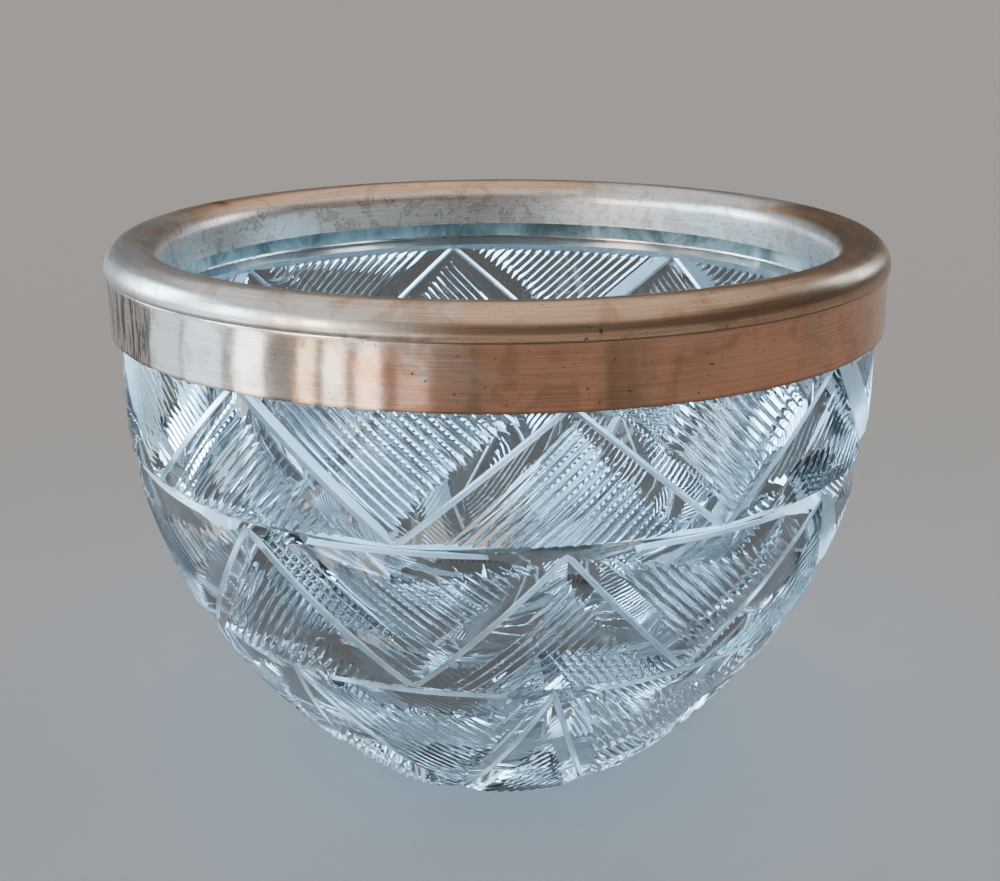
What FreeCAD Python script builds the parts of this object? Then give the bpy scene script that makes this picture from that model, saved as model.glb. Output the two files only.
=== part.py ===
import FreeCAD, Part
import math
import os

import Sketcher
from FreeCAD import Placement, Rotation, Vector

# A cut crystal bowl with a rolled metal rim, standing on its flat base.
# Millimetres, +Z up along the bowl's axis, origin at the middle of the base.
# Angles about the axis are in degrees from the front (-Y), positive towards +X.

SIZES = {
    # Turned glass blank, at the middle level of the fine flutes, which are left to the visual
    # model. It is a hemisphere inside, on a floor, and upright above the neck, which is a rise
    # above the hemisphere's middle. Outside, one arc goes from the neck down to the belly and a
    # flatter one on to the foot. A lean is how far the outside there faces down, in degrees
    "neck_radius": 97.0,
    "neck_wall": 8.7,
    "neck_rise": 5.7,
    "belly_height": 34.7,
    "belly_lean": 35.28,
    "foot_lean": 49.2,
    "lip_rise": 30.4,
    "lip_bevel": 1.6,
    "floor_thickness": 10.0,
    # Rolled rim, placed from the lip, and the plaster that holds it there
    "bedding_thickness": 1.15,
    "metal_thickness": 0.7,
    "bead_gap": 0.3,
    "bead_rise": 6.4,
    "bead_overhang": 1.15,
    "shoulder_drop": 1.0,
    "apron_reach": 15.4,
    "inner_apron_reach": 6.3,
    "hem_height": 0.9,
    "hem_overhang": 0.3,
    "plaster_setback": 0.5,
    # Cut pattern: repeats round the bowl, and how far the first one is turned
    "repeats": 8,
    "pattern_turn": 8.9,
    # Level mitres: the collar's below the lip, the others as shares of the neck's height
    "collar_mitre_drop": 14.2,
    "upper_mitre_share": 0.834,
    "lower_mitre_share": 0.458,
    "level_mitre_width": 4.4,
    "level_mitre_depth": 2.0,
    # Zigzag mitres stop just short of the middle of a level mitre. The lowest run out below
    # the base, through the edge of the foot
    "zigzag_setback": 0.6,
    "zigzag_bottom": -1.5,
    # Each mitre is a wide V whose polished sides are the lens facets
    "mitre_depth": 2.2,
    "zigzag_end_depth": 1.1,
    "lens_end_depth": 0.5,
    "steep_side_width": 1.4,
    "inner_facet_width": 6.4,
    "outer_facet_width": 6.0,
    "middle_lens_width": 7.2,
    "lower_lens_width": 7.2,
    "lens_span": 37.0,
    # Star under the base
    "star_cuts": 8,
    "star_margin": 6.7,
    "star_depth": 1.3,
    "star_cut_width": 5.0,
}

# How far a cutter reaches past the surface that it cuts, as a share of its size
REACH = 1.6

doc = FreeCAD.newDocument("cut_glass_bowl")
sizes = doc.addObject("Spreadsheet::Sheet", "sizes")
for row, (alias, number) in enumerate(SIZES.items(), 1):
    sizes.set(f"A{row}", alias)
    sizes.set(f"B{row}", str(number))
    sizes.setAlias(f"B{row}", alias)
doc.recompute()


def value(expression):
    """The number that an expression of the sizes has now."""
    return float(sizes.evalExpression(expression))


def size(alias):
    return float(sizes.get(alias))


def new_body(label):
    body = doc.addObject("PartDesign::Body", label)
    body.Label = label
    return body


def origin_feature(body, role):
    return next(item for item in body.Origin.OriginFeatures if item.Role == role)


def new_sketch(body, name, plane="XZ_Plane", offset=None):
    sketch = body.newObject("Sketcher::SketchObject", name)
    sketch.AttachmentSupport = [(origin_feature(body, plane), "")]
    sketch.MapMode = "FlatFace"
    if offset:
        sketch.AttachmentOffset = offset
    return sketch


def arc_between(start, end, radius, turn):
    """Arc of under half a turn: turn is 1 counterclockwise, -1 clockwise from start to end."""
    chord = end - start
    rise = math.sqrt(max(radius**2 - (chord.Length / 2) ** 2, 0))
    side = Vector(-chord.y, chord.x, 0).normalize() * turn
    centre = (start + end) / 2 + side * rise
    first, last = (start, end) if turn > 0 else (end, start)
    angles = [math.atan2(point.y - centre.y, point.x - centre.x) for point in (first, last)]
    return Part.ArcOfCircle(Part.Circle(centre, Vector(0, 0, 1), radius), angles[0], angles[1])


def draw_outline(sketch, corners, arcs=None):
    """Closes the corners with straight sides and arcs, and binds them to the sizes.

    corners holds pairs of expressions; arcs maps a side's number to its radius and turn.
    """
    arcs = arcs or {}
    points = [Vector(value(x), value(y), 0) for x, y in corners]
    ends = []
    for side, start in enumerate(points):
        end = points[(side + 1) % len(points)]
        if side in arcs:
            radius, turn = arcs[side]
            sketch.addGeometry(arc_between(start, end, value(radius), turn))
            ends.append((1, 2) if turn > 0 else (2, 1))
        else:
            sketch.addGeometry(Part.LineSegment(start, end))
            ends.append((1, 2))
    for side, (x, y) in enumerate(corners):
        before = (side - 1) % len(corners)
        corner = (side, ends[side][0])
        sketch.addConstraint(Sketcher.Constraint("Coincident", before, ends[before][1], *corner))
        places = ("DistanceX", x, points[side].x), ("DistanceY", y, points[side].y)
        for kind, expression, number in places:
            index = sketch.addConstraint(Sketcher.Constraint(kind, -1, 1, *corner, number))
            sketch.setExpression(f"Constraints[{index}]", expression)
        if side in arcs:
            radius = arcs[side][0]
            index = sketch.addConstraint(Sketcher.Constraint("Radius", side, value(radius)))
            sketch.setExpression(f"Constraints[{index}]", radius)


def revolve(body, sketch, name):
    turned = body.newObject("PartDesign::Revolution", name)
    turned.Profile = sketch
    turned.ReferenceAxis = (sketch, ["V_Axis"])
    turned.Angle = 360
    sketch.Visibility = False
    return turned


# Expressions that several pieces share: the glass outline, then the rim round its lip
NECK_IN = "(sizes.neck_radius - sizes.neck_wall)"
HOLLOW_MIDDLE = f"(sizes.floor_thickness + {NECK_IN})"
NECK = f"({HOLLOW_MIDDLE} + sizes.neck_rise)"
BELLY_ARC = f"(({NECK} - sizes.belly_height) / sin(sizes.belly_lean))"
BELLY = f"(sizes.neck_radius - {BELLY_ARC} * (1 - cos(sizes.belly_lean)))"
FOOT_ARC = "(sizes.belly_height / (sin(sizes.foot_lean) - sin(sizes.belly_lean)))"
FOOT = f"({BELLY} - {FOOT_ARC} * (cos(sizes.belly_lean) - cos(sizes.foot_lean)))"
LIP = f"({NECK} + sizes.lip_rise)"
LIP_SIDE = f"({LIP} - sizes.lip_bevel)"
COLLAR_MITRE = f"({LIP} - sizes.collar_mitre_drop)"
UPPER_MITRE = f"({NECK} * sizes.upper_mitre_share)"
LOWER_MITRE = f"({NECK} * sizes.lower_mitre_share)"
APRON_BOTTOM = f"({LIP} - sizes.apron_reach)"
INNER_APRON_BOTTOM = f"({LIP} - sizes.inner_apron_reach)"
BEAD_BOTTOM = f"({LIP} + sizes.bead_gap)"
APRON_IN = "(sizes.neck_radius + sizes.bedding_thickness)"
APRON_OUT = f"({APRON_IN} + sizes.metal_thickness)"
MOUTH_OUT = f"({NECK_IN} - sizes.bedding_thickness)"
MOUTH_IN = f"({MOUTH_OUT} - sizes.metal_thickness)"
BEAD_OUT = f"({APRON_OUT} + sizes.bead_overhang)"
BEAD_HALF = f"(({BEAD_OUT} - {MOUTH_IN}) / 2)"
BEAD_ARC = f"(({BEAD_HALF}^2 + sizes.bead_rise^2) / (2 * sizes.bead_rise))"
INNER_HALF = f"({BEAD_HALF} - sizes.metal_thickness)"
INNER_RISE = "(sizes.bead_rise - sizes.metal_thickness)"
BEAD_INSIDE = f"({BEAD_OUT} - sizes.metal_thickness)"
BEAD_MIDDLE = f"(({BEAD_OUT} + {MOUTH_IN}) / 2)"
SHOULDER = f"({BEAD_BOTTOM} - sizes.shoulder_drop)"
# The hollow under the bead, from the shoulder to the mouth, is formed in flats that the
# plaster fills
HOLLOW_FLATS = 4
HOLLOW = [
    (
        f"{BEAD_MIDDLE} + {INNER_HALF} * cos(180 deg * {step} / {HOLLOW_FLATS})",
        f"{BEAD_BOTTOM} + {INNER_RISE} * sin(180 deg * {step} / {HOLLOW_FLATS})",
    )
    for step in range(HOLLOW_FLATS + 1)
]


class Blank:
    """The turned outside of the glass before it is cut."""

    def __init__(self):
        lean = math.radians(size("belly_lean"))
        outward = Vector(math.cos(lean), 0, -math.sin(lean))
        self.neck = Vector(size("neck_radius"), 0, value(NECK))
        self.belly = Vector(value(BELLY), 0, size("belly_height"))
        self.belly_arc = value(BELLY_ARC)
        self.foot_arc = value(FOOT_ARC)
        self.belly_centre = self.belly - outward * self.belly_arc
        self.foot_centre = self.belly - outward * self.foot_arc

    def section(self, height):
        """Point and outward normal of the outline at a height, in the XZ plane."""
        if height >= self.neck.z:
            return Vector(self.neck.x, 0, height), Vector(1, 0, 0)
        upper = height >= self.belly.z
        centre = self.belly_centre if upper else self.foot_centre
        radius = self.belly_arc if upper else self.foot_arc
        across = math.sqrt(radius**2 - (height - centre.z) ** 2)
        point = Vector(centre.x + across, 0, height)
        return point, (point - centre).normalize()

    def at(self, angle, height):
        """Point and outward normal of the surface at an angle from the front."""
        turn = Rotation(Vector(0, 0, 1), angle - 90)
        point, normal = self.section(height)
        return turn.multVec(point), turn.multVec(normal)


def make_glass_blank(body):
    """Turned bowl: two tangent arcs outside, and a hemisphere of the neck's radius inside."""
    corners = [
        ("0", "0"),
        (FOOT, "0"),
        (BELLY, "sizes.belly_height"),
        ("sizes.neck_radius", NECK),
        ("sizes.neck_radius", LIP_SIDE),
        ("sizes.neck_radius - sizes.lip_bevel", LIP),
        (f"{NECK_IN} + sizes.lip_bevel", LIP),
        (NECK_IN, LIP_SIDE),
        (NECK_IN, HOLLOW_MIDDLE),
        ("0", "sizes.floor_thickness"),
    ]
    arcs = {1: (FOOT_ARC, 1), 2: (BELLY_ARC, 1), 8: (NECK_IN, -1)}
    sketch = new_sketch(body, "glass_outline")
    draw_outline(sketch, corners, arcs)
    revolve(body, sketch, "glass_blank")


def cut_round(body, sketch, name, axis, angle=360.0):
    """Removes what the section sweeps when it turns about the axis."""
    groove = body.newObject("PartDesign::Groove", name)
    groove.Profile = sketch
    groove.ReferenceAxis = axis
    groove.Midplane = angle < 360
    groove.Angle = angle
    groove.Refine = False
    sketch.Visibility = False
    return groove


def repeat(body, name, features, count, spread="360"):
    pattern = body.newObject("PartDesign::PolarPattern", name)
    pattern.Originals = features
    pattern.Axis = (origin_feature(body, "Z_Axis"), [""])
    pattern.setExpression("Angle", spread)
    pattern.setExpression("Occurrences", count)
    pattern.Refine = False
    body.Tip = pattern
    return pattern


def cut_level_mitre(body, blank, name, height):
    """V groove that runs right round the bowl at one height."""
    point, normal = blank.section(value(height))
    lean = math.degrees(math.atan2(normal.z, normal.x))
    frame = Placement(Vector(point.x, point.z, 0), Rotation(Vector(0, 0, 1), lean))
    sketch = new_sketch(body, f"{name}_section", "XZ_Plane", frame)
    half = f"(sizes.level_mitre_width / 2 * {REACH})"
    out = f"(sizes.level_mitre_depth * ({REACH} - 1))"
    draw_outline(sketch, [("-sizes.level_mitre_depth", "0"), (out, f"-{half}"), (out, half)])
    cut_round(body, sketch, name, (origin_feature(body, "Z_Axis"), [""]))


def cut_mitre(body, blank, name, ends, end_depth, left, right):
    """V cut along the surface, whose two sides have their own widths.

    ends holds the angle and height of both ends. The cut follows an arc that is flatter than
    the glass, so its polished sides are widest in the middle and narrow towards both ends.
    """
    start, end = ends
    turn = size("pattern_turn")
    first, _ = blank.at(start[0] + turn, start[1])
    last, _ = blank.at(end[0] + turn, end[1])
    middle, outward = blank.at((start[0] + end[0]) / 2 + turn, (start[1] + end[1]) / 2)
    along = (last - first).normalize()
    aside = outward.cross(along).normalize()
    normal = along.cross(aside)
    half_length = (last - first).Length / 2
    chord_middle = (first + last) / 2
    off_middle = (middle - chord_middle).dot(along) / half_length
    sag = (middle - chord_middle).dot(normal) / (1 - off_middle**2)
    glass_curve = 2 * sag / (half_length**2 + sag**2)
    flatter = 2 * (size("mitre_depth") - size(end_depth)) / half_length**2
    path_radius = 1 / (glass_curve - flatter)
    centre = chord_middle + normal * (sag - size("mitre_depth") - path_radius)
    frame = Placement(centre, Rotation(normal, aside, normal.cross(aside), "XYZ"))
    sketch = new_sketch(body, f"{name}_section", "XY_Plane", frame)
    bottom = f"{path_radius:.6f}"
    top = f"{bottom} + sizes.mitre_depth * {REACH}"
    draw_outline(sketch, [(bottom, "0"), (top, f"-{right} * {REACH}"), (top, f"{left} * {REACH}")])
    angle = 2 * math.degrees(math.asin(half_length / abs(path_radius)))
    return cut_round(body, sketch, name, (sketch, ["V_Axis"]), angle)


def make_glass(blank):
    """The blank, its level mitres, then the zigzags and lenses of all three tiers."""
    body = new_body("glass_bowl")
    make_glass_blank(body)
    levels = {"collar": COLLAR_MITRE, "upper": UPPER_MITRE, "lower": LOWER_MITRE}
    for name, height in levels.items():
        cut_level_mitre(body, blank, f"{name}_mitre", height)
    collar, upper, lower = (value(height) for height in levels.values())
    setback = size("zigzag_setback")
    tiers = {
        "upper": (collar - setback, upper + setback),
        "middle": (upper - setback, lower + setback),
        "lower": (lower - setback, size("zigzag_bottom")),
    }
    half = 180 / size("repeats")
    inner, outer = "sizes.inner_facet_width", "sizes.outer_facet_width"
    steep = "sizes.steep_side_width"

    every = []
    for name, (peak, valley) in tiers.items():
        ends = (-half, valley), (0, peak)
        every.append(cut_mitre(body, blank, f"{name}_rising", ends, "zigzag_end_depth", outer, inner))
    reach = size("lens_span") / 2
    for name, level in (("middle", upper), ("lower", lower)):
        ends = (half - reach, level), (half + reach, level)
        width = f"sizes.{name}_lens_width"
        every.append(cut_mitre(body, blank, f"{name}_lens", ends, "lens_end_depth", steep, width))
    repeat(body, "rising_repeats", every, "sizes.repeats")

    # Every second falling mitre of the two upper tiers has a steep outer side, so that the
    # flutes over it run right down to the mitre
    for first, start in (("falling", 0), ("plain", 2 * half)):
        alternate = []
        for name, (peak, valley) in tiers.items():
            ends = (start, peak), (start + half, valley)
            side = steep if first == "plain" and name != "lower" else outer
            cut = cut_mitre(body, blank, f"{name}_{first}", ends, "zigzag_end_depth", side, inner)
            alternate.append(cut)
        repeat(body, f"{first}_repeats", alternate, "sizes.repeats / 2")
    cut_star(body)
    return body


def cut_star(body):
    """Star of V cuts across the base, deepest where they cross in the middle."""
    reach = value(FOOT) - size("star_margin")
    radius = (reach**2 - size("star_depth") ** 2) / (2 * size("star_depth"))
    frame = Placement(Vector(0, size("star_depth") - radius, 0), Rotation())
    sketch = new_sketch(body, "star_section", "XZ_Plane", frame)
    half = f"(sizes.star_cut_width / 2 * {REACH})"
    tip = f"{radius:.6f}"
    low = f"{tip} - sizes.star_depth * {REACH}"
    draw_outline(sketch, [("0", tip), (f"-{half}", low), (half, low)])
    angle = 2 * math.degrees(math.asin(reach * REACH / radius))
    cut = cut_round(body, sketch, "star_cut", (sketch, ["H_Axis"]), angle)
    repeat(body, "star", [cut], "sizes.star_cuts", "180 * (sizes.star_cuts - 1) / sizes.star_cuts")


def make_rim():
    """One sheet spun over the lip: outer apron, shoulder, half round bead, inner apron."""
    body = new_body("metal_rim")
    hem_out = f"({APRON_OUT} + sizes.hem_overhang)"
    hem_top = f"({APRON_BOTTOM} + sizes.hem_height)"
    corners = [
        (BEAD_OUT, BEAD_BOTTOM),
        (MOUTH_IN, BEAD_BOTTOM),
        (MOUTH_IN, INNER_APRON_BOTTOM),
        (MOUTH_OUT, INNER_APRON_BOTTOM),
        *HOLLOW[::-1],
        (APRON_IN, SHOULDER),
        (APRON_IN, APRON_BOTTOM),
        (hem_out, APRON_BOTTOM),
        (hem_out, hem_top),
        (APRON_OUT, f"{hem_top} + sizes.hem_overhang"),
        (APRON_OUT, SHOULDER),
    ]
    sketch = new_sketch(body, "rim_outline")
    draw_outline(sketch, corners, {0: (BEAD_ARC, 1)})
    revolve(body, sketch, "rim_spun")
    return body


def make_bedding():
    """Plaster that fills the rim's hollow over the glass lip."""
    body = new_body("plaster_bedding")
    outer_bottom = f"({COLLAR_MITRE} + sizes.level_mitre_width / 2 + sizes.plaster_setback)"
    inner_bottom = f"({INNER_APRON_BOTTOM} + sizes.plaster_setback)"
    corners = [
        ("sizes.neck_radius", outer_bottom),
        (APRON_IN, outer_bottom),
        (APRON_IN, SHOULDER),
        *HOLLOW,
        (MOUTH_OUT, inner_bottom),
        (NECK_IN, inner_bottom),
        (NECK_IN, LIP_SIDE),
        (f"{NECK_IN} + sizes.lip_bevel", LIP),
        ("sizes.neck_radius - sizes.lip_bevel", LIP),
        ("sizes.neck_radius", LIP_SIDE),
    ]
    sketch = new_sketch(body, "bedding_outline")
    draw_outline(sketch, corners)
    revolve(body, sketch, "bedding_cast")
    return body


def main():
    pieces = [make_glass(Blank()), make_rim(), make_bedding()]
    doc.recompute()
    for item in doc.Objects:
        if {"Invalid", "Error"} & set(item.State):
            raise RuntimeError(f"{item.Name} failed: {item.State}")
    os.makedirs("parts", exist_ok=True)
    for piece in pieces:
        shape = piece.Shape
        if shape.isNull() or not shape.isValid() or len(shape.Solids) != 1:
            raise RuntimeError(f"{piece.Label} is not one valid solid")
        shape.exportStep(f"parts/{piece.Label}.step")
        print(piece.Label, round(shape.Volume / 1000, 2), "cm3", len(shape.Faces), "faces")


main()
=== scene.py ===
import math

import bpy
import numpy as np
from mathutils import Matrix, Vector

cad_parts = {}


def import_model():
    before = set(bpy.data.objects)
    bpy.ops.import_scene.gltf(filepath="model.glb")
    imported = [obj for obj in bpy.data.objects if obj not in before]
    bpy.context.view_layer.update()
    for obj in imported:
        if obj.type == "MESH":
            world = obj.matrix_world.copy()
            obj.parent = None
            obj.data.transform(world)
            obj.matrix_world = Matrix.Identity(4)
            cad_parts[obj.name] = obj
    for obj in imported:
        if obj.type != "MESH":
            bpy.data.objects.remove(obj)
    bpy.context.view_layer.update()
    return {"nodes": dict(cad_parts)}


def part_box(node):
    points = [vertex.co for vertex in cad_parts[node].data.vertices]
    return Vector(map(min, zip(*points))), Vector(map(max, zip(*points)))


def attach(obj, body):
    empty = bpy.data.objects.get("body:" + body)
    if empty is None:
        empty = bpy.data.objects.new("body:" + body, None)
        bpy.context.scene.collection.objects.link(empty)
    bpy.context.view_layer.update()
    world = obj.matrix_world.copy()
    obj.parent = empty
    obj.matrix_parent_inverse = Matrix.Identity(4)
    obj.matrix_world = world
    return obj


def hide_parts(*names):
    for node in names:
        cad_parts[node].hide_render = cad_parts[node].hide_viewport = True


# Cut glass bowl with a worn, rolled metal rim.
# Metres, +Z up, the bowl's axis on Z. Angles are in degrees from the front (-Y), positive
# towards +X. Lengths below are written in millimetres and scaled by MM.
MM = 0.001
# Points of a turned outline that are nearer than this to the axis, in metres, are on it
ON_AXIS = 1e-9

# The turned blank, before it is cut. The solid lies at the middle level of the flutes, so
# their crests stand CREST_RISE outside it. A lean is how far the outside there faces down
BELLY_HEIGHT = 34.7 * MM
BELLY_LEAN = math.radians(35.28)
FOOT_LEAN = math.radians(49.2)
NECK_HEIGHT = 104.0 * MM
NECK_WALL = 8.7 * MM
CREST_RISE = 0.4 * MM
FLOOR_THICKNESS = 10.0 * MM
LIP_BEVEL = 1.6 * MM
ROUND_STEPS = 288
# Rings of the blank: outside from the base up, more closely spaced low down, then the hollow
BLANK_STEPS = 52
BLANK_SPREAD = 1.15
UPRIGHT_RING = 112.0 * MM
COLLAR_STEP = 0.5 * MM
HOLLOW_RINGS = 122.0 * MM, 108.0 * MM
HOLLOW_STEPS = 40
# Finishes of the cut glass, by material slot
FLUTED, GROUND, MITRED = 0, 1, 2
# Edges are sharp where the surface turns by more degrees, between flute walls and elsewhere
FLUTE_CREASE = 43
OTHER_CREASE = 9

# Cut pattern
REPEATS = 8
HALF_REPEAT = 180 / REPEATS
PATTERN_TURN = 8.9
COLLAR_LEVEL = 120.2 * MM
UPPER_LEVEL = 0.834 * NECK_HEIGHT
LOWER_LEVEL = 0.458 * NECK_HEIGHT
LEVEL_WIDTH = 5.2 * MM
LEVEL_DEPTH = 2.4 * MM
ZIGZAG_SETBACK = 0.6 * MM
ZIGZAG_BOTTOM = -1.5 * MM
# How far a cutter reaches past the surface that it cuts, as a share of its size
LEVEL_REACH = 1.5
MITRE_REACH = 1.7
MITRE_STEPS = 14
# Tier: level above, level below, slope of the flutes under a peak and over a valley
TIERS = {
    "upper": (COLLAR_LEVEL, UPPER_LEVEL, 46, 42),
    "middle": (UPPER_LEVEL, LOWER_LEVEL, 50, 43),
    "lower": (LOWER_LEVEL, ZIGZAG_BOTTOM - ZIGZAG_SETBACK, 56, 50),
}
FACET_DEPTH = 2.3 * MM
FACET_END_DEPTH = 1.4 * MM
INNER_FACET = 7.6 * MM
OUTER_FACET = 7.0 * MM
LINE_HALF_WIDTH = 0.75 * MM
LINE_DEPTH = 0.45 * MM
LENS_SPAN = 37.0
LENS_WIDTH = 8.6 * MM
LENS_END_DEPTH = 0.7 * MM
FLUTE_PITCH = 2.2 * MM
FLUTE_DEPTH = 0.8 * MM
FLUTE_HALF_WIDTH = 0.478 * FLUTE_PITCH
FLUTE_STEP = 4.5 * MM
# A flute's wall bends halfway out, at this share of its depth, and its cutter ends above it
FLUTE_BEND = 0.55
FLUTE_TOP = 0.45 * MM
# A field's flutes reach this far from its middle, in length and in degrees
FIELD_REACH = 60.0 * MM
FIELD_ANGLE = 40
FLUTE_SAMPLES = 70
SHORTEST_FLUTE = 1.5 * MM
STAR_RADIUS = 37.0 * MM
STAR_JOIN_RADIUS = 12.0 * MM
STAR_DEPTH = 1.3 * MM
STAR_RAYS = 16
STAR_BELOW = -2.0 * MM

# Rolled rim. Its outer apron stands a little inside the bead, with a rounded lower edge; the
# crease under the bead is given as distances outside the apron and below the bead
RIM_SHEET = 0.7 * MM
RIM_MOUTH = 86.45 * MM
RIM_STEPS = 360
BEAD_BASE = 134.7 * MM
BEAD_STEPS = 24
BEAD_HOLLOW_STEPS = 12
INNER_BEND = 3.0 * MM
INNER_APRON_BOTTOM = 128.1 * MM
APRON_INSET = 0.5 * MM
APRON_EDGE = 0.15 * MM
APRON_RING = 6.0 * MM
APRON_BACK = 1.0 * MM
CREASE = (0, 2.2), (0.12, 1.5), (0.12, 1.2), (0.02, 0.9), (0.3, 0.4)
RIM_CREASE = 40
# Where the metal's colours change, in metres: heights, distances from the axis, and x
APRON_TOP = 0.1345, 0.1325
OUTER_FACE = 0.094, 0.097
INNER_FACE = 0.0885, 0.0868
HEM_LINE = 0.1199, 0.1193
# x where the painted reflection of window blinds starts on the apron
BLIND_REFLECTION_X = -0.072, -0.083
RUST_AT = (-0.0814, 0.0443, 0.1400)
RUST_EDGE = 0.0075, 0.0045

# Camera, from the photograph's perspective
CAMERA_AT = (0.0005, -0.3816, 0.2021)
CAMERA_AIM = (0.0005, 0.0, 0.0824)
CAMERA_ROLL = -0.2
CAMERA_LENS = 52.8

# Floor and backdrop, in metres
FLOOR_HALF = 30
FLOOR_TONE = (0.42, 0.405, 0.392, 1)
# Glowing dark sheet just under the floor, seen only through the glass: painted shade
PAINTED_SHADE_AT = -0.1 * MM
PAINTED_SHADE_TONE = (0.105, 0.095, 0.09, 1)
BACKDROP_RADIUS = 12
BACKDROP_HEIGHT = 14
BACKDROP_STEPS = 96
BACKDROP_TONE = (0.400, 0.375, 0.350, 1)
# Surroundings that are only reflected: how far up they start, and their tone
WORLD_RAMP = (0.02, (0.12, 0.11, 0.105, 1)), (0.35, (0.14, 0.135, 0.13, 1))

# Lights. Angles are in degrees from the front, lengths in metres
WHITE = (1.0, 0.97, 0.94)
COLD = (0.66, 0.86, 1.0)
BLUE = (0.38, 0.71, 1.0)
WARM = (1.0, 0.92, 0.82)
CREAM = (1.0, 0.95, 0.86)
ORANGE = (1.0, 0.74, 0.48)
BOWL_MIDDLE = (0, 0, 0.08)
# Soft box over everything, and those round it for the floor alone: x, y, size
OVERHEAD_HEIGHT = 4.0
OVERHEAD_RADIANCE = 0.75
OVERHEAD = 0, 0.4, (9, 9)
FAR_OVERHEAD = (
    (0, 14.9, (49, 20)),
    (0, -14.1, (49, 20)),
    (-14.5, 0.4, (20, 9)),
    (14.5, 0.4, (20, 9)),
)
# For the glass and the metal: name, angle, distance, height, size, radiance, colour
PANES = (
    ("left_pane", -106, 0.85, 0.36, (0.22, 0.36), 20, COLD),
    ("left_front_pane", -76, 0.85, 0.34, (0.20, 0.30), 16, COLD),
    ("front_left_card", -50, 0.85, 0.32, (0.24, 0.24), 14, WARM),
    ("right_back", 125, 0.9, 0.45, (0.14, 0.30), 12, COLD),
)
# For the glass alone: angle, height, size, radiance
WINDOW_DISTANCE = 1.0
GLASS_WINDOWS = (
    (-50, 0.75, (0.36, 0.50), 62),
    (55, 0.75, (0.32, 0.50), 58),
    (-100, 0.45, (0.50, 0.60), 36),
    (100, 0.45, (0.40, 0.60), 30),
    (-135, 0.75, (0.40, 0.50), 20),
    (150, 0.75, (0.40, 0.50), 20),
    (-152, 0.42, (0.40, 0.26), 9),
    (-162, 0.24, (0.26, 0.18), 14),
    (178, 0.30, (0.20, 0.20), 12),
    (160, 0.24, (0.26, 0.18), 14),
    (152, 0.42, (0.40, 0.26), 9),
)
# Low and near, for the bright and dark streaks on the apron: angle, width, radiance, colour
CARD_DISTANCE = 0.4
CARD_MIDDLE = 0.055
CARD_HEIGHT = 0.11
CARDS = (
    (-96, 0.10, 1.1, COLD),
    (-80, 0.10, 1.9, COLD),
    (-64, 0.062, 4.8, CREAM),
    (-47, 0.03, 4.6, ORANGE),
    (-39.5, 0.038, 4.8, CREAM),
    (-31, 0.038, 4.6, CREAM),
    (-20, 0.05, 0.8, CREAM),
)


class Blank:
    """The outside surface of the glass before it is cut."""

    def __init__(self, neck_radius):
        outward = Vector((math.cos(BELLY_LEAN), -math.sin(BELLY_LEAN)))
        self.neck_radius = neck_radius
        self.belly_arc = (NECK_HEIGHT - BELLY_HEIGHT) / math.sin(BELLY_LEAN)
        self.foot_arc = BELLY_HEIGHT / (math.sin(FOOT_LEAN) - math.sin(BELLY_LEAN))
        belly = neck_radius - self.belly_arc * (1 - math.cos(BELLY_LEAN))
        self.belly_centre = Vector((belly, BELLY_HEIGHT)) - outward * self.belly_arc
        self.foot_centre = Vector((belly, BELLY_HEIGHT)) - outward * self.foot_arc

    def section(self, height):
        """Radius at a height, and the outward normal's radial and upward parts."""
        if height >= NECK_HEIGHT:
            return self.neck_radius, Vector((1, 0))
        upper = height >= BELLY_HEIGHT
        centre = self.belly_centre if upper else self.foot_centre
        arc = self.belly_arc if upper else self.foot_arc
        across = math.sqrt(arc**2 - (height - centre.y) ** 2)
        return centre.x + across, Vector((across, height - centre.y)).normalized()

    def at(self, angle, height):
        """Point and outward normal at an angle in degrees and a height."""
        radius, normal = self.section(height)
        side, front = math.sin(math.radians(angle)), -math.cos(math.radians(angle))
        point = Vector((radius * side, radius * front, height))
        return point, Vector((normal.x * side, normal.x * front, normal.y))


def new_object(name, verts, faces):
    mesh = bpy.data.meshes.new(name)
    mesh.from_pydata([tuple(v) for v in verts], [], faces)
    mesh.validate()
    obj = bpy.data.objects.new(name, mesh)
    bpy.context.scene.collection.objects.link(obj)
    return obj


def turned(name, outline, steps=ROUND_STEPS):
    """Surface of revolution from an outline of (radius, height), which may end on the axis."""
    verts, rings = [], []
    for radius, height in outline:
        if radius < ON_AXIS:
            rings.append([len(verts)] * steps)
            verts.append((0, 0, height))
            continue
        rings.append(list(range(len(verts), len(verts) + steps)))
        for step in range(steps):
            angle = 2 * math.pi * step / steps
            verts.append((radius * math.cos(angle), radius * math.sin(angle), height))
    faces = []
    on_axis = outline[0][0] < ON_AXIS and outline[-1][0] < ON_AXIS
    last = len(rings) - 1 if on_axis else len(rings)
    for index in range(last):
        low, high = rings[index], rings[(index + 1) % len(rings)]
        for step in range(steps):
            after = (step + 1) % steps
            corners = [low[step], low[after], high[after], high[step]]
            corners = [v for i, v in enumerate(corners) if v not in corners[:i]]
            if len(corners) > 2:
                faces.append(corners)
    return new_object(name, verts, faces)


def arc_points(centre, radius, start, end, steps):
    """Points on an arc in the (radius, height) plane, angles in degrees."""
    points = []
    for step in range(steps + 1):
        angle = math.radians(start + (end - start) * step / steps)
        points.append((centre[0] + radius * math.cos(angle), centre[1] + radius * math.sin(angle)))
    return points


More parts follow.
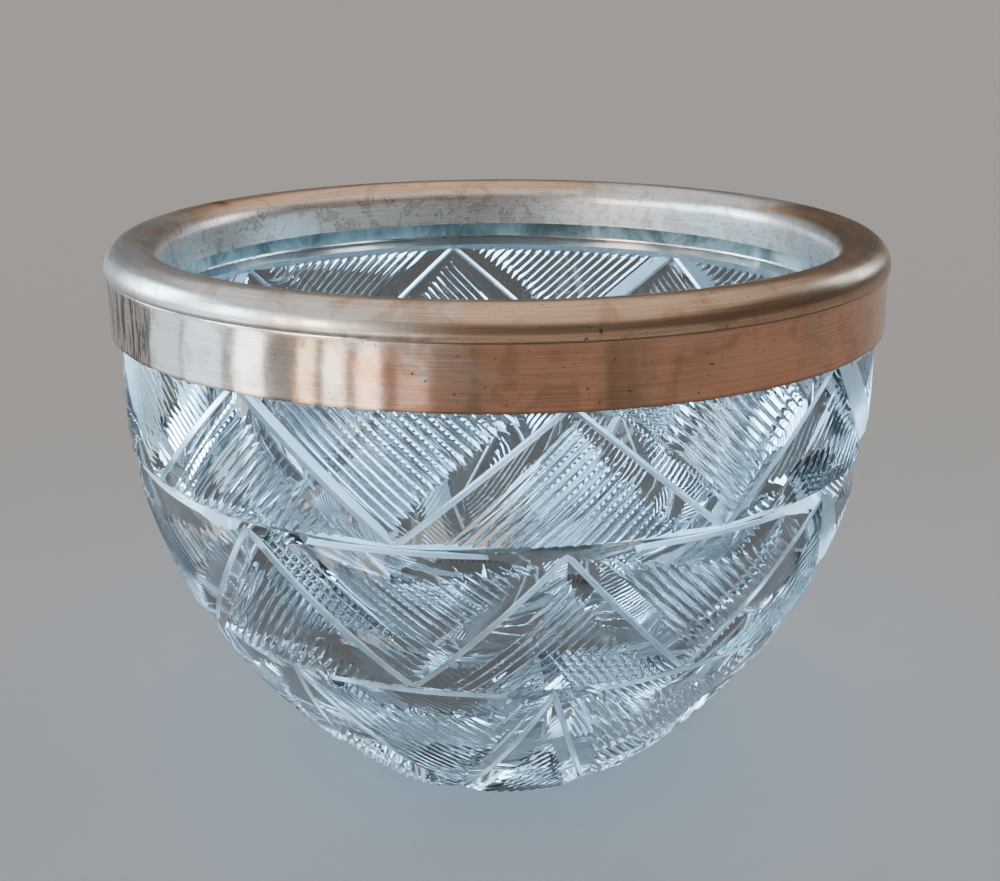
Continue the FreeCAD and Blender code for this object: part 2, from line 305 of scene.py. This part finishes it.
class Cutters:
    """Closed cutters that are taken away together, each face with the finish that it leaves."""

    def __init__(self, finish):
        self.verts, self.faces, self.finishes = [], [], []
        self.finish = finish

    def add_face(self, corners, ground=False):
        self.faces.append(tuple(corners))
        self.finishes.append(GROUND if ground else self.finish)

    def sweep(self, stations, section, ground=(), closed=False):
        """Adds a tube through stations of (point, outward normal, sideways direction).

        section holds (sideways, outward) pairs, counterclockwise when it is seen against the
        direction of travel; ground holds the numbers of its ground sides.
        """
        count = len(section)
        base = len(self.verts)
        for point, normal, aside in stations:
            self.verts += [point + aside * across + normal * out for across, out in section]
        last = base + (len(stations) - 1) * count
        for span in range(len(stations) if closed else len(stations) - 1):
            low = base + span * count
            high = base + (span + 1) % len(stations) * count
            for corner in range(count):
                after = (corner + 1) % count
                quad = (low + corner, low + after, high + after, high + corner)
                self.add_face(quad, corner in ground)
        if not closed:
            self.add_face(range(base + count - 1, base - 1, -1))
            self.add_face(range(last, last + count))

    def cut(self, obj):
        """Takes the cutters away from an object."""
        tool = new_object("cutter", self.verts, self.faces)
        for material in obj.data.materials:
            tool.data.materials.append(material)
        tool.data.polygons.foreach_set("material_index", self.finishes)
        change = obj.modifiers.new("cut", "BOOLEAN")
        change.operation = "DIFFERENCE"
        change.solver = "MANIFOLD"
        change.object = tool
        bpy.context.view_layer.update()
        evaluated = obj.evaluated_get(bpy.context.evaluated_depsgraph_get())
        old, obj.data = obj.data, bpy.data.meshes.new_from_object(evaluated)
        obj.modifiers.clear()
        bpy.data.meshes.remove(old)
        bpy.data.meshes.remove(tool.data)


def mitre_path(blank, start, end, end_depth):
    """Stations of a cut from start to end, along an arc that is flatter than the glass.

    Also gives the sideways direction, which is to the left of the travel when it is seen
    from outside.
    """
    first, _ = blank.at(start[0] + PATTERN_TURN, start[1])
    last, _ = blank.at(end[0] + PATTERN_TURN, end[1])
    middle, outward = blank.at((start[0] + end[0]) / 2 + PATTERN_TURN, (start[1] + end[1]) / 2)
    along = (last - first).normalized()
    aside = outward.cross(along).normalized()
    normal = along.cross(aside)
    half_length = (last - first).length / 2
    chord_middle = (first + last) / 2
    off_middle = (middle - chord_middle).dot(along) / half_length
    sag = (middle - chord_middle).dot(normal) / (1 - off_middle**2)
    glass_curve = 2 * sag / (half_length**2 + sag**2)
    radius = 1 / (glass_curve - 2 * (FACET_DEPTH - end_depth) / half_length**2)
    centre = chord_middle + normal * (sag - FACET_DEPTH - radius)
    reach = math.asin(half_length / abs(radius))
    stations = []
    for step in range(MITRE_STEPS + 1):
        angle = reach * (2 * step / MITRE_STEPS - 1)
        out = normal * math.cos(angle) + along * math.sin(angle)
        stations.append((centre + out * radius, out, aside))
    return stations, (aside, first)


def mitre_section(left, right):
    """Wide V with its own width on each side and a narrow line along the bottom.

    A side with no width goes up at the slope of the line. The first side and the last are
    the line's.
    """

    def side(width):
        height = FACET_DEPTH * MITRE_REACH
        if width:
            foot = LINE_HALF_WIDTH, LINE_HALF_WIDTH * (FACET_DEPTH / width)
            return [foot, (width * MITRE_REACH, height)]
        return [((height + LINE_DEPTH) * LINE_HALF_WIDTH / LINE_DEPTH, height)]

    rights = [(-across, out) for across, out in side(right)]
    return [(0, -LINE_DEPTH)] + side(left) + rights[::-1]


def flute_plane(blank, angle, height, slope, rising):
    """Unit normal of the parallel planes that hold a field's flutes."""
    _, normal = blank.at(angle, height)
    level = Vector((math.cos(math.radians(angle)), math.sin(math.radians(angle)), 0))
    up = normal.cross(level)
    way = 1 if rising else -1
    along = level * way * math.cos(math.radians(slope)) + up * math.sin(math.radians(slope))
    return normal.cross(along).normalized()


def angle_on_plane(blank, plane, offset, height, near):
    """Angle at which the surface meets a plane at one height, or None."""
    radius, _ = blank.section(height)
    across = math.hypot(plane.x, plane.y) * radius
    level = (offset - plane.z * height) / across
    if abs(level) >= 1:
        return None
    lead = math.degrees(math.atan2(-plane.y, plane.x))
    swing = math.degrees(math.asin(level))
    options = [swing - lead, 180 - swing - lead]
    options = [near + (option - near + 180) % 360 - 180 for option in options]
    return min(options, key=lambda option: abs(option - near))


def add_flutes(blank, cutters, centre, slope, rising, sides, low, high):
    """Cutters of one field: V flutes in parallel planes, kept between its mitres.

    centre is the field's angle and height; sides holds (sideways direction, point, sign) of
    the mitre planes that bound it.
    """
    plane = flute_plane(blank, *centre, slope, rising)
    middle, _ = blank.at(*centre)
    reach = int(FIELD_REACH / FLUTE_PITCH)
    wall = [(FLUTE_HALF_WIDTH / 2, -FLUTE_BEND * FLUTE_DEPTH)]
    wall += [(FLUTE_HALF_WIDTH, 0), (FLUTE_HALF_WIDTH, FLUTE_TOP)]
    section = [(0, -FLUTE_DEPTH), *wall, *[(-across, out) for across, out in wall[::-1]]]
    for index in range(-reach, reach + 1):
        offset = plane.dot(middle) + (index + 0.5) * FLUTE_PITCH
        path = []
        for step in range(FLUTE_SAMPLES + 1):
            height = low + (high - low) * step / FLUTE_SAMPLES
            angle = angle_on_plane(blank, plane, offset, height, centre[0])
            if angle is None or abs(angle - centre[0]) > FIELD_ANGLE:
                continue
            point, normal = blank.at(angle, height)
            if all(aside.dot(point - origin) * sign > 0 for aside, origin, sign in sides):
                path.append((point, normal))
        length = sum((path[i + 1][0] - path[i][0]).length for i in range(len(path) - 1))
        if length < SHORTEST_FLUTE:
            continue
        spans = max(1, round(length / FLUTE_STEP))
        picks = [path[round(i * (len(path) - 1) / spans)] for i in range(spans + 1)]
        stations = []
        for i, (point, normal) in enumerate(picks):
            before, after = picks[max(i - 1, 0)][0], picks[min(i + 1, spans)][0]
            stations.append((point, normal, normal.cross((after - before).normalized())))
        cutters.sweep(stations, section)


def cut_pattern(obj, blank):
    """Cuts the flutes first and the deeper mitres over them, so flute ends come out jagged."""
    names = ("peaks", "valleys", "rising", "falling", "lenses", "levels", "star")
    fluted = "peaks", "valleys"
    cutters = {name: Cutters(FLUTED if name in fluted else MITRED) for name in names}
    for tier, (top, bottom, peak_slope, valley_slope) in TIERS.items():
        # Each field of flutes is a triangle, whose middle is a third of the way from its wide side
        peak, valley = top - ZIGZAG_SETBACK, bottom + ZIGZAG_SETBACK
        for repeat in range(REPEATS):
            turn = repeat * 2 * HALF_REPEAT
            up = (turn - HALF_REPEAT, valley), (turn, peak)
            down = (turn, peak), (turn + HALF_REPEAT, valley)
            following = (turn + HALF_REPEAT, valley), (turn + 2 * HALF_REPEAT, peak)
            plain = repeat % 2 and tier != "lower"
            path, up_plane = mitre_path(blank, *up, FACET_END_DEPTH)
            add_mitre(cutters["rising"], path, OUTER_FACET, INNER_FACET)
            path, down_plane = mitre_path(blank, *down, FACET_END_DEPTH)
            add_mitre(cutters["falling"], path, 0 if plain else OUTER_FACET, INNER_FACET)
            _, next_plane = mitre_path(blank, *following, FACET_END_DEPTH)
            centre = (turn + PATTERN_TURN, valley + (peak - valley) / 3)
            sides = [(*up_plane, -1), (*down_plane, -1)]
            add_flutes(blank, cutters["peaks"], centre, peak_slope, True, sides, bottom, top)
            centre = (turn + HALF_REPEAT + PATTERN_TURN, valley + (peak - valley) * 2 / 3)
            sides = [(*down_plane, 1), (*next_plane, 1)]
            add_flutes(blank, cutters["valleys"], centre, valley_slope, False, sides, bottom, top)
            if tier != "upper":
                middle = turn + HALF_REPEAT
                ends = (middle - LENS_SPAN / 2, top), (middle + LENS_SPAN / 2, top)
                path, _ = mitre_path(blank, *ends, LENS_END_DEPTH)
                add_mitre(cutters["lenses"], path, 0, LENS_WIDTH)
    for height in (COLLAR_LEVEL, UPPER_LEVEL, LOWER_LEVEL):
        add_level(blank, cutters["levels"], height)
    add_star(cutters["star"])
    for name in names:
        cutters[name].cut(obj)


def add_mitre(cutters, path, left, right):
    """Mitre along a path, with ground sides along its line."""
    section = mitre_section(left, right)
    cutters.sweep(path, section, ground=(0, len(section) - 1))


def add_level(blank, cutters, height):
    """V groove that runs right round; the one under the rim is left ground."""
    side, top = LEVEL_WIDTH / 2 * LEVEL_REACH, LEVEL_DEPTH * (LEVEL_REACH - 1)
    section = [(0, -LEVEL_DEPTH), (side, top), (-side, top)]
    stations = []
    for step in range(ROUND_STEPS):
        point, normal = blank.at(360 * step / ROUND_STEPS, height)
        level = Vector((-point.y, point.x, 0)).normalized()
        stations.append((point, normal, normal.cross(level)))
    ground = (0, 2) if height == COLLAR_LEVEL else ()
    cutters.sweep(stations, section, ground, closed=True)


def add_star(cutters):
    """Star under the base: rays that meet in the middle, where they are deepest."""
    cutters.verts = [Vector((0, 0, STAR_DEPTH)), Vector((0, 0, STAR_BELOW))]
    rim = []
    for index in range(2 * STAR_RAYS):
        angle = math.pi * index / STAR_RAYS
        radius = STAR_RADIUS if index % 2 == 0 else STAR_JOIN_RADIUS
        x, y = radius * math.cos(angle), radius * math.sin(angle)
        rim.append(len(cutters.verts))
        cutters.verts += [Vector((x, y, 0.0)), Vector((x, y, STAR_BELOW))]
    for index, corner in enumerate(rim):
        after = rim[(index + 1) % len(rim)]
        cutters.add_face((0, corner, after))
        cutters.add_face((1, after + 1, corner + 1))
        cutters.add_face((corner, corner + 1, after + 1, after))


def mark_edges(mesh):
    """Smooths over the flutes' walls and crests, and marks the other edges sharp."""
    mesh.shade_smooth()
    finishes = np.empty(len(mesh.polygons), dtype=int)
    mesh.polygons.foreach_get("material_index", finishes)
    normals = np.empty(3 * len(mesh.polygons))
    mesh.polygons.foreach_get("normal", normals)
    sizes = np.empty(len(mesh.polygons), dtype=int)
    mesh.polygons.foreach_get("loop_total", sizes)
    edges = np.empty(len(mesh.loops), dtype=int)
    mesh.loops.foreach_get("edge_index", edges)
    owners = np.repeat(np.arange(len(mesh.polygons)), sizes)[np.argsort(edges, kind="stable")]
    first, second = owners[::2], owners[1::2]
    normals = normals.reshape(-1, 3)
    turn = (normals[first] * normals[second]).sum(axis=1)
    fluted = (finishes[first] == FLUTED) & (finishes[second] == FLUTED)
    smooth, sharp = math.cos(math.radians(FLUTE_CREASE)), math.cos(math.radians(OTHER_CREASE))
    limit = np.where(fluted, smooth, sharp)
    mesh.edges.foreach_set("use_edge_sharp", turn < limit)


def make_glass():
    """The bowl: a turned blank with its hollow, cut all round and under the base."""
    low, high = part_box("glass_bowl")
    neck_radius = (high[0] - low[0]) / 2
    lip = high[2]
    blank = Blank(neck_radius + CREST_RISE)
    inner = neck_radius - NECK_WALL
    shares = [step / BLANK_STEPS for step in range(BLANK_STEPS + 1)]
    heights = [NECK_HEIGHT * share**BLANK_SPREAD for share in shares]
    outline = [(0, 0), (blank.section(0)[0] / 2, 0)]
    outline += [(blank.section(height)[0], height) for height in heights]
    outline += [(blank.neck_radius, UPRIGHT_RING), (blank.neck_radius, COLLAR_LEVEL - COLLAR_STEP)]
    outline += [(neck_radius, COLLAR_LEVEL + COLLAR_STEP), (neck_radius, lip - LIP_BEVEL)]
    outline += [(neck_radius - LIP_BEVEL, lip), (inner + LIP_BEVEL, lip), (inner, lip - LIP_BEVEL)]
    outline += [(inner, height) for height in HOLLOW_RINGS]
    outline += arc_points((0, FLOOR_THICKNESS + inner), inner, 0, -90, HOLLOW_STEPS)[:-1]
    outline += [(0, FLOOR_THICKNESS)]
    obj = turned("cut_glass", outline)
    polished = glass_material("polished_crystal", roughness=0.0, clearness=1.0)
    ground = glass_material("ground_crystal", roughness=0.32, clearness=0.88)
    for material in polished, ground, polished:
        obj.data.materials.append(material)
    cut_pattern(obj, blank)
    mark_edges(obj.data)
    for polygon in obj.data.polygons:
        if polygon.material_index == MITRED:
            polygon.material_index = FLUTED
    obj.data.materials.pop(index=MITRED)
    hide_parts("glass_bowl")
    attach(obj, "root")
    return obj


class Nodes:
    """Short way to add and link shader nodes."""

    def __init__(self, name):
        self.material = bpy.data.materials.new(name)
        self.material.use_nodes = True
        self.tree = self.material.node_tree
        self.shader = self.tree.nodes["Principled BSDF"]

    def link(self, source, socket):
        """Links an output to a socket, or sets the socket to a value."""
        if isinstance(source, bpy.types.NodeSocket):
            self.tree.links.new(source, socket)
        else:
            socket.default_value = source

    def set(self, **inputs):
        for key, source in inputs.items():
            self.link(source, self.shader.inputs[key.replace("_", " ")])

    def coordinates(self):
        """Object coordinates, and the x, y and z parts."""
        place = self.tree.nodes.new("ShaderNodeTexCoord").outputs["Object"]
        parts = self.tree.nodes.new("ShaderNodeSeparateXYZ")
        self.link(place, parts.inputs[0])
        return place, list(parts.outputs)

    def times(self, first, second):
        return self.math("MULTIPLY", first, second)

    def math(self, operation, *sources):
        node = self.tree.nodes.new("ShaderNodeMath")
        node.operation = operation
        for source, socket in zip(sources, node.inputs):
            self.link(source, socket)
        return node.outputs[0]

    def distance(self, place, point):
        node = self.tree.nodes.new("ShaderNodeVectorMath")
        node.operation = "DISTANCE"
        self.link(place, node.inputs[0])
        node.inputs[1].default_value = point
        return node.outputs["Value"]

    def combine(self, x, y, z):
        node = self.tree.nodes.new("ShaderNodeCombineXYZ")
        for source, socket in zip((x, y, z), node.inputs):
            self.link(source, socket)
        return node.outputs[0]

    def noise(self, place, scale, detail=2.0, roughness=0.5, distortion=0.0):
        node = self.tree.nodes.new("ShaderNodeTexNoise")
        self.link(place, node.inputs["Vector"])
        node.inputs["Scale"].default_value = scale
        node.inputs["Detail"].default_value = detail
        node.inputs["Roughness"].default_value = roughness
        node.inputs["Distortion"].default_value = distortion
        return node.outputs["Fac"]

    def span(self, source, low, high, start=0.0, end=1.0):
        """Smooth change from start to end while the source goes from low to high."""
        node = self.tree.nodes.new("ShaderNodeMapRange")
        node.interpolation_type = "SMOOTHSTEP"
        for item, socket in zip((source, low, high, start, end), node.inputs):
            self.link(item, socket)
        return node.outputs[0]

    def mix(self, share, first, second, blend="MIX"):
        node = self.tree.nodes.new("ShaderNodeMix")
        node.data_type = "RGBA"
        node.blend_type = blend
        self.link(share, node.inputs["Factor"])
        self.link(first, node.inputs[6])
        self.link(second, node.inputs[7])
        return node.outputs[2]

    def bump(self, height, strength, distance):
        node = self.tree.nodes.new("ShaderNodeBump")
        self.link(height, node.inputs["Height"])
        node.inputs["Strength"].default_value = strength
        node.inputs["Distance"].default_value = distance
        self.link(node.outputs["Normal"], self.shader.inputs["Normal"])


def glass_material(name, roughness, clearness):
    """Lead crystal; the faint glow stands for light that bounces on inside the thick walls."""
    nodes = Nodes(name)
    nodes.set(Base_Color=(0.87, 0.945, 1.0, 1), Roughness=roughness, IOR=1.45)
    nodes.set(Transmission_Weight=clearness)
    nodes.set(Emission_Color=(0.55, 0.78, 1.0, 1), Emission_Strength=0.006)
    return nodes.material


def metal_material():
    """Silver plate worn through to a coppery base, with brown tarnish, stains and specks, and with
    painted reflections and shade: streaks down the apron, navy bands at its far left, a lighter
    left side and a darker right one.

    Noise is given by its scale, detail, roughness and distortion.
    """
    silver = (0.80, 0.79, 0.78, 1)
    tan = (0.75, 0.50, 0.345, 1)
    worn_and_shaded_tan = (0.45, 0.295, 0.195, 1)
    grey_tan = (0.88, 0.74, 0.64, 1)
    copper = (0.55, 0.34, 0.23, 1)
    salmon = (0.72, 0.36, 0.24, 1)
    brown = (0.33, 0.20, 0.13, 1)
    pale_brown = (0.34, 0.22, 0.14, 1)
    dark = (0.05, 0.04, 0.035, 1)
    navy_blind_reflection = (0.06, 0.08, 0.12, 1)
    rust = (0.42, 0.13, 0.02, 1)
    nodes = Nodes("worn_plate_with_painted_reflections")
    place, (x, y, z) = nodes.coordinates()
    angle = nodes.math("ARCTAN2", x, nodes.times(y, -1))
    squares = nodes.math("POWER", x, 2), nodes.math("POWER", y, 2)
    radius = nodes.math("SQRT", nodes.math("ADD", *squares))
    below_bead = nodes.span(z, *APRON_TOP)
    outside = nodes.times(below_bead, nodes.span(radius, *OUTER_FACE))
    inside = nodes.span(radius, *INNER_FACE)

    # Streaks run down the apron, partly tarnish and partly painted reflections of the room; drawn
    # lines run round the rim
    down = nodes.combine(angle, nodes.times(z, 1.2), 0)
    round_rim = nodes.combine(angle, nodes.times(z, 700), nodes.times(radius, 700))
    clouds = nodes.noise(place, 34, 4, 0.55, 0.6)
    blotches = nodes.noise(place, 90, 5, 0.6, 1.0)
    tarnish_and_reflection_streaks = nodes.noise(down, 6, 2, 0.5)
    blind_reflection_noise = nodes.noise(down, 48, 3, 0.7)
    drawn = nodes.noise(round_rim, 1.6, 4, 0.65)
    specks = nodes.noise(place, 800, 2, 0.5)
    scratches = nodes.combine(nodes.times(angle, 4), nodes.times(z, 2600), radius)
    scratches = nodes.noise(scratches, 1.0, 3, 0.7)

    # The bead darkens towards the right: partly tarnish, partly painted shade of the dark room it
    # reflects
    bead = nodes.mix(nodes.span(x, -0.02, 0.09), tan, worn_and_shaded_tan)
    # Apron streaks of copper, salmon and brown: partly tarnish, partly painted reflections of the
    # room
    apron = nodes.mix(nodes.span(tarnish_and_reflection_streaks, 0.42, 0.60), copper, salmon)
    apron = nodes.mix(nodes.span(tarnish_and_reflection_streaks, 0.46, 0.38, 0.0, 0.75), apron, brown)
    colour = nodes.mix(outside, bead, apron)
    colour = nodes.mix(inside, colour, grey_tan)

    # The plate is left on the front left outside, and at the back right inside and on the bead.
    # The silver on the front left is also a painted reflection of a window
    left = nodes.math("MULTIPLY_ADD", x, -8.0, nodes.times(y, -5.0))
    left_plate_and_window_reflection = nodes.span(nodes.math("MULTIPLY_ADD", clouds, 0.8, left), 0.97, 1.25)
    right = nodes.math("MULTIPLY_ADD", x, 8.0, nodes.times(y, 5.0))
    right_plate = nodes.span(nodes.math("MULTIPLY_ADD", clouds, 0.8, right), 0.80, 1.0)
    back_right = nodes.times(nodes.math("ADD", x, y), 7.0)
    bead_plate = nodes.math("MULTIPLY_ADD", clouds, 0.6, back_right)
    bead_plate = nodes.span(bead_plate, 1.06, 1.20, 0.0, 0.9)
    plate = nodes.math("MAXIMUM", left_plate_and_window_reflection, nodes.times(right_plate, inside))
    bead_plate = nodes.times(bead_plate, nodes.span(outside, 0.6, 0.4))
    plate = nodes.math("MAXIMUM", plate, bead_plate)
    colour = nodes.mix(plate, colour, silver)

    stain = nodes.span(blotches, 0.50, 0.62, 0.0, 0.45)
    stain = nodes.times(stain, nodes.span(drawn, 0.25, 0.65, 0.45, 1.0))
    colour = nodes.mix(stain, colour, brown)
    contour = nodes.math("PINGPONG", nodes.times(blotches, 7.0), 0.5)
    contour = nodes.times(nodes.span(contour, 0.09, 0.0, 0.0, 0.75), inside)
    colour = nodes.mix(contour, colour, pale_brown)
    # Navy bands at the apron's far left are a painted reflection of window blinds
    blind_reflection_bands = nodes.times(nodes.span(blind_reflection_noise, 0.50, 0.54), nodes.span(x, *BLIND_REFLECTION_X))
    colour = nodes.mix(nodes.times(blind_reflection_bands, outside), colour, navy_blind_reflection)
    colour = nodes.mix(nodes.span(specks, 0.70, 0.75, 0.0, 0.85), colour, dark)
    colour = nodes.mix(nodes.span(z, *HEM_LINE, 0.0, 0.8), colour, brown)
    scuff = nodes.span(scratches, 0.3, 0.7, 0.82, 1.12)
    colour = nodes.mix(1.0, colour, nodes.combine(scuff, scuff, scuff), "MULTIPLY")
    spot = nodes.distance(place, RUST_AT)
    spot = nodes.math("MULTIPLY_ADD", blotches, 0.006, spot)
    spot = nodes.span(spot, *RUST_EDGE, 0.0, 0.9)
    colour = nodes.mix(spot, colour, rust)

    finish = nodes.math("MULTIPLY_ADD", outside, -0.19, 0.29)
    finish = nodes.math("MULTIPLY_ADD", inside, 0.06, finish)
    finish = nodes.math("MULTIPLY_ADD", nodes.span(blotches, 0.45, 0.65), 0.07, finish)
    nodes.set(Base_Color=colour, Metallic=1.0, Roughness=finish)
    nodes.bump(nodes.math("MULTIPLY_ADD", drawn, 0.25, clouds), 0.15, 0.0004)
    return nodes.material


def plaster_material():
    """Old cement, dark and greenish where it is seen through the glass neck."""
    nodes = Nodes("plaster")
    place, _ = nodes.coordinates()
    mottle = nodes.noise(place, 60, 4, 0.6, 0.5)
    greenish, pale = (0.17, 0.20, 0.17, 1), (0.78, 0.82, 0.75, 1)
    colour = nodes.mix(nodes.span(mottle, 0.35, 0.65), greenish, pale)
    nodes.set(Base_Color=colour, Roughness=0.85)
    nodes.bump(mottle, 0.4, 0.0005)
    return nodes.material


def make_rim():
    """The rolled rim, turned from its sheet's outline: outer face, bead, inner face and back."""
    low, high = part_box("metal_rim")
    radius, bottom, top = high[0], low[2], high[2]
    apron = radius - APRON_INSET
    back = RIM_MOUTH + RIM_SHEET
    middle = (radius + RIM_MOUTH) / 2
    half = (radius - RIM_MOUTH) / 2
    rise = top - BEAD_BASE
    outline = [(apron - RIM_SHEET, bottom), (apron - APRON_EDGE, bottom)]
    outline += [(apron, bottom + APRON_EDGE), (apron, bottom + APRON_RING)]
    outline += [(apron + out * MM, BEAD_BASE - below * MM) for out, below in CREASE]
    for step in range(BEAD_STEPS + 1):
        angle = math.pi * step / BEAD_STEPS
        outline.append((middle + half * math.cos(angle), BEAD_BASE + rise * math.sin(angle)))
    outline += [(RIM_MOUTH, BEAD_BASE - INNER_BEND), (RIM_MOUTH, INNER_APRON_BOTTOM)]
    outline += [(back, INNER_APRON_BOTTOM), (back, BEAD_BASE)]
    half, rise = half - RIM_SHEET, rise - RIM_SHEET
    for step in range(1, BEAD_HOLLOW_STEPS):
        angle = math.pi * (1 - step / BEAD_HOLLOW_STEPS)
        outline.append((middle + half * math.cos(angle), BEAD_BASE + rise * math.sin(angle)))
    outline += [(radius - RIM_SHEET, BEAD_BASE), (apron - RIM_SHEET, BEAD_BASE - APRON_BACK)]
    obj = turned("rolled_rim", outline, RIM_STEPS)
    obj.data.shade_smooth()
    obj.data.set_sharp_from_angle(angle=math.radians(RIM_CREASE))
    obj.data.materials.append(metal_material())
    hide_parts("metal_rim")
    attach(obj, "root")
    return obj


def look_at(obj, target, roll=0.0):
    """Turns an object at its place to face a point, with a roll in degrees."""
    direction = Vector(target) - obj.location
    turn = direction.to_track_quat("-Z", "Y").to_matrix().to_4x4()
    rolled = Matrix.Rotation(math.radians(roll), 4, "Z")
    obj.matrix_world = Matrix.Translation(obj.location) @ turn @ rolled


def make_camera():
    data = bpy.data.cameras.new("camera")
    data.lens = CAMERA_LENS
    data.sensor_width = 36
    data.clip_start = 0.01
    camera = bpy.data.objects.new("camera", data)
    bpy.context.scene.collection.objects.link(camera)
    camera.location = CAMERA_AT
    look_at(camera, CAMERA_AIM, CAMERA_ROLL)
    bpy.context.scene.camera = camera


def plain_tone(name, tone):
    """Material that shows a tone whatever light falls on it."""
    nodes = Nodes(name)
    nodes.set(Base_Color=(0, 0, 0, 1), Emission_Color=tone, Emission_Strength=1.0)
    nodes.set(Specular_IOR_Level=0.0)
    return nodes.material


def make_floor():
    """Pale floor, with a glowing dark sheet of painted shade under it and a pale wall round it.

    The painted shade is what the glass shows in the floor's place. Only the camera sees the wall.
    """
    half = FLOOR_HALF
    corners = [(-half, -half, 0), (half, -half, 0), (half, half, 0), (-half, half, 0)]
    nodes = Nodes("floor")
    nodes.set(Base_Color=FLOOR_TONE, Roughness=0.85)
    floor = new_object("floor", corners, [(0, 1, 2, 3)])
    floor.data.materials.append(nodes.material)
    floor.visible_transmission = False
    # The dark card glows with painted shade, and only the glass sees it
    tone = plain_tone("painted_shade_card", PAINTED_SHADE_TONE)
    card = new_object("painted_shade_card", corners, [(0, 1, 2, 3)])
    card.location.z = PAINTED_SHADE_AT
    card.data.materials.append(tone)
    card.visible_camera = card.visible_diffuse = card.visible_glossy = card.visible_shadow = False
    tone = plain_tone("backdrop", BACKDROP_TONE)
    wall = [(BACKDROP_RADIUS, 0), (BACKDROP_RADIUS, BACKDROP_HEIGHT)]
    backdrop = turned("backdrop", wall, BACKDROP_STEPS)
    backdrop.data.materials.append(tone)
    backdrop.visible_diffuse = backdrop.visible_glossy = backdrop.visible_shadow = False
    backdrop.visible_transmission = False
    return floor


def area_light(name, place, target, size, radiance, colour):
    """Soft box of a size in metres whose face has a given radiance."""
    data = bpy.data.lights.new(name, "AREA")
    data.shape = "RECTANGLE"
    data.size, data.size_y = size
    data.energy = radiance * math.pi * size[0] * size[1]
    data.color = colour
    light = bpy.data.objects.new(name, data)
    bpy.context.scene.collection.objects.link(light)
    light.location = place
    light.visible_camera = False
    look_at(light, target)
    return light


def overhead_light(name, x, y, size):
    """Soft box that faces straight down."""
    above, below = (x, y, OVERHEAD_HEIGHT), (x, y, 0)
    return area_light(name, above, below, size, OVERHEAD_RADIANCE, WHITE)


def lit_group(name, *objects):
    """Collection of the only objects that a light which is linked to it falls on."""
    group = bpy.data.collections.new(name)
    for obj in objects:
        group.objects.link(obj)
    return group


def round_place(angle, distance, height):
    """Place at an angle in degrees from the front and a distance from the bowl's axis."""
    turn = math.radians(angle)
    return distance * math.sin(turn), -distance * math.cos(turn), height


def make_world():
    """Dim, even surroundings for the reflections, a little paler above."""
    world = bpy.data.worlds.new("studio")
    world.use_nodes = True
    tree = world.node_tree
    direction = tree.nodes.new("ShaderNodeTexCoord").outputs["Generated"]
    parts = tree.nodes.new("ShaderNodeSeparateXYZ")
    tree.links.new(direction, parts.inputs[0])
    ramp = tree.nodes.new("ShaderNodeValToRGB")
    for element, (position, tone) in zip(ramp.color_ramp.elements, WORLD_RAMP):
        element.color = tone
        element.position = position
    tree.links.new(parts.outputs["Z"], ramp.inputs[0])
    tree.links.new(ramp.outputs[0], tree.nodes["Background"].inputs["Color"])
    bpy.context.scene.world = world


def make_lights(glass, rim, floor):
    """Soft boxes, all but the overhead one linked to what they light.

    The four round the overhead one light the floor alone, panes and low cards the glass and
    the metal, and windows the glass alone.
    """
    lit_glass = lit_group("lit_by_glass_windows", glass)
    lit_bowl = lit_group("lit_by_panes", glass, rim)
    overhead_light("overhead", *OVERHEAD)
    lit_floor = lit_group("lit_by_far_overhead", floor)
    for x, y, size in FAR_OVERHEAD:
        light = overhead_light("far_overhead", x, y, size)
        light.rotation_euler = (0, 0, 0)
        light.light_linking.receiver_collection = lit_floor
    for name, angle, distance, height, size, radiance, colour in PANES:
        place = round_place(angle, distance, height)
        light = area_light(name, place, BOWL_MIDDLE, size, radiance, colour)
        light.light_linking.receiver_collection = lit_bowl
    for angle, height, size, radiance in GLASS_WINDOWS:
        place = round_place(angle, WINDOW_DISTANCE, height)
        light = area_light("glass_window", place, BOWL_MIDDLE, size, radiance, BLUE)
        light.light_linking.receiver_collection = lit_glass
    for angle, width, radiance, colour in CARDS:
        place, target = round_place(angle, CARD_DISTANCE, CARD_MIDDLE), (0, 0, CARD_MIDDLE)
        light = area_light("low_card", place, target, (width, CARD_HEIGHT), radiance, colour)
        light.light_linking.receiver_collection = lit_bowl


def main():
    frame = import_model()
    glass = make_glass()
    rim = make_rim()
    bedding = frame["nodes"]["plaster_bedding"]
    bedding.data.materials.clear()
    bedding.data.materials.append(plaster_material())
    floor = make_floor()
    make_world()
    make_lights(glass, rim, floor)
    make_camera()


main()
